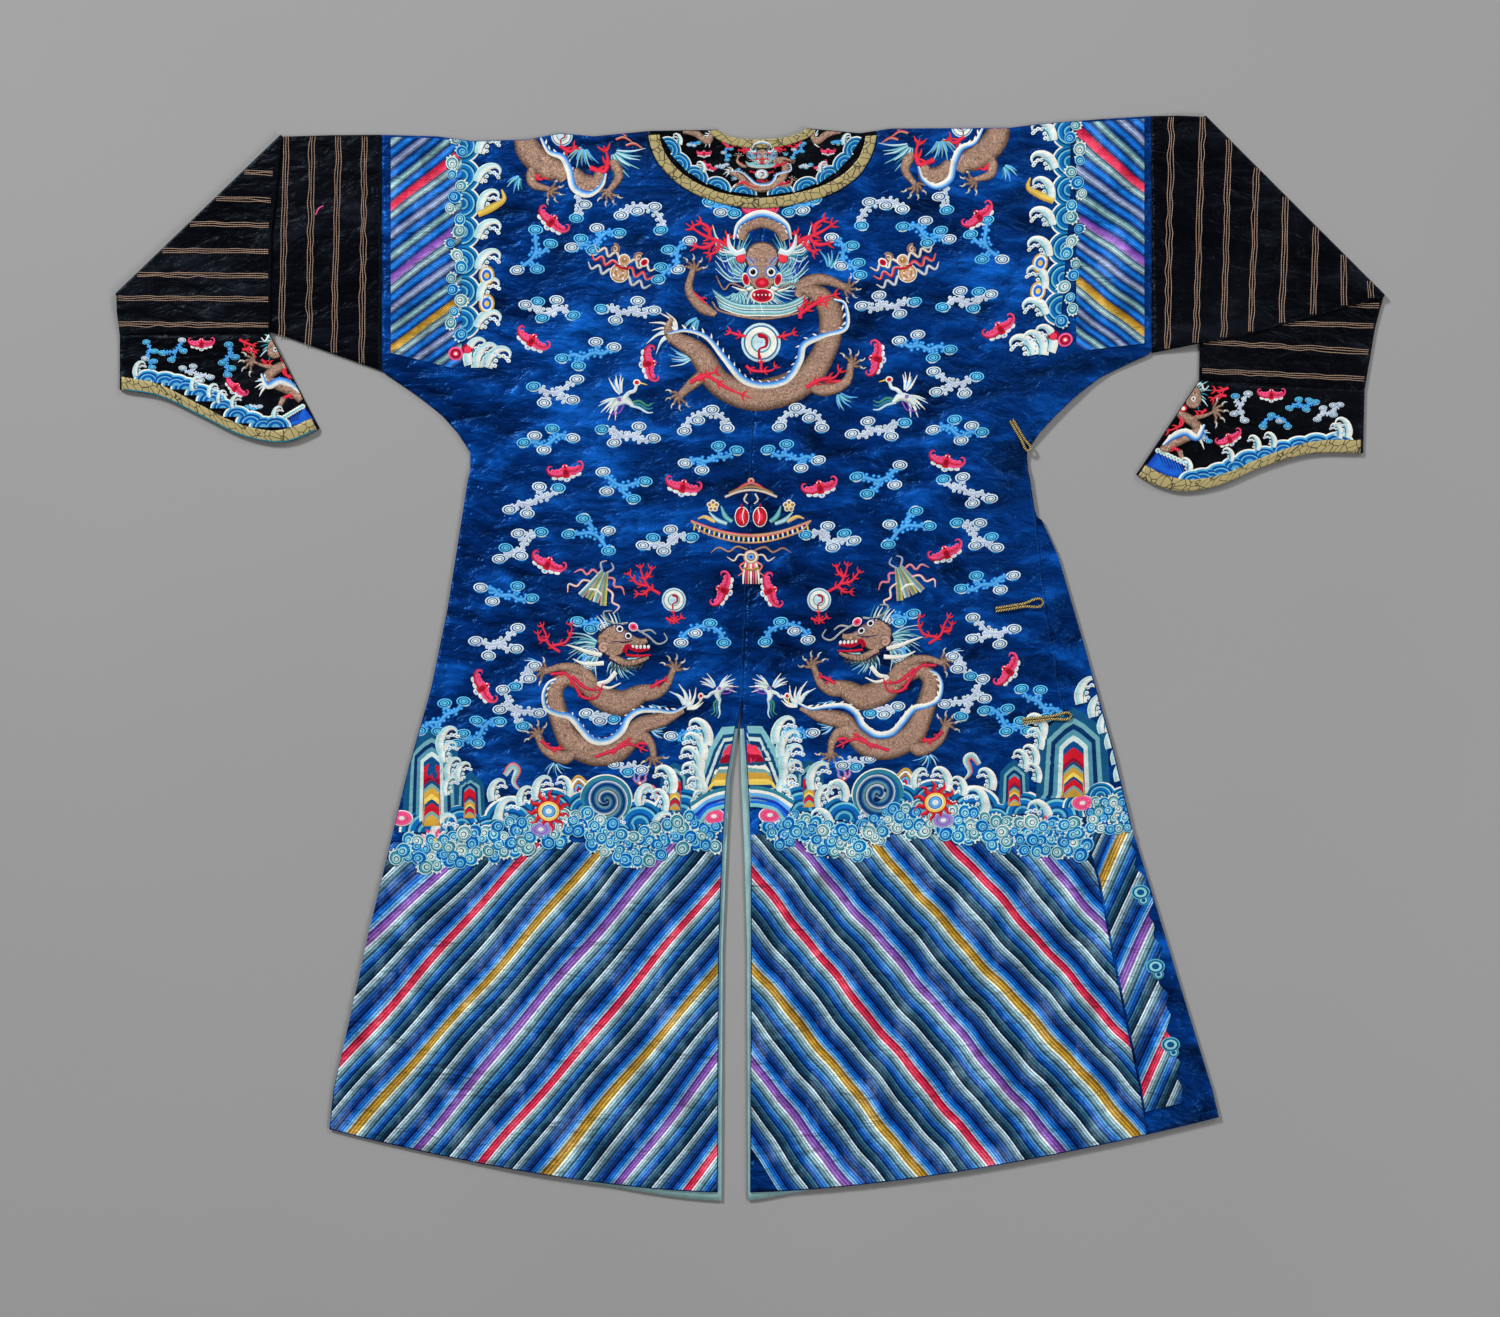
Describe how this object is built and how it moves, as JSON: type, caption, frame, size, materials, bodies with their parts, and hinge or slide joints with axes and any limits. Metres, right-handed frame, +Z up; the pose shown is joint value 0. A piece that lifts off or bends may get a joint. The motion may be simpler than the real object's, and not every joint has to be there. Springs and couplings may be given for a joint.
{
  "type": "dragon robe",
  "caption": "Chinese dragon robe of blue embroidered silk, laid flat with its back upwards; ribbed black sleeve ends with horse-hoof cuffs fold at the wrists.",
  "frame": {"origin": "middle of the laid-out robe, on the flat face that it rests on", "axes": "+X to the wearer's right, +Y from the hem to the collar, +Z up off the surface"},
  "size_m": [1.6231, 1.3881, 0.011],
  "materials": {
    "blue_satin": "satin silk with couched and satin-stitch embroidery",
    "black_satin": "satin silk with fine gold ribs",
    "brocade": "woven metal-thread edging with a dark crackle pattern",
    "lining": "thin pale plain silk",
    "gold_cord": "round metal-wrapped cord"
  },
  "bodies": {
    "root": {"left_body": "blue_satin", "right_body": "blue_satin", "outer_overlap": "blue_satin", "neck_band": "black_satin", "neck_trim_outer": "brocade", "neck_trim_inner": "brocade", "lining_left": "lining", "lining_right": "lining", "left_sleeve": "black_satin", "right_sleeve": "black_satin", "left_cuff": "black_satin", "right_cuff": "black_satin", "left_cuff_trim": "brocade", "right_cuff_trim": "brocade", "loop_underarm": "gold_cord", "loop_waist": "gold_cord", "loop_hip": "gold_cord"}
  },
  "joints": []
}
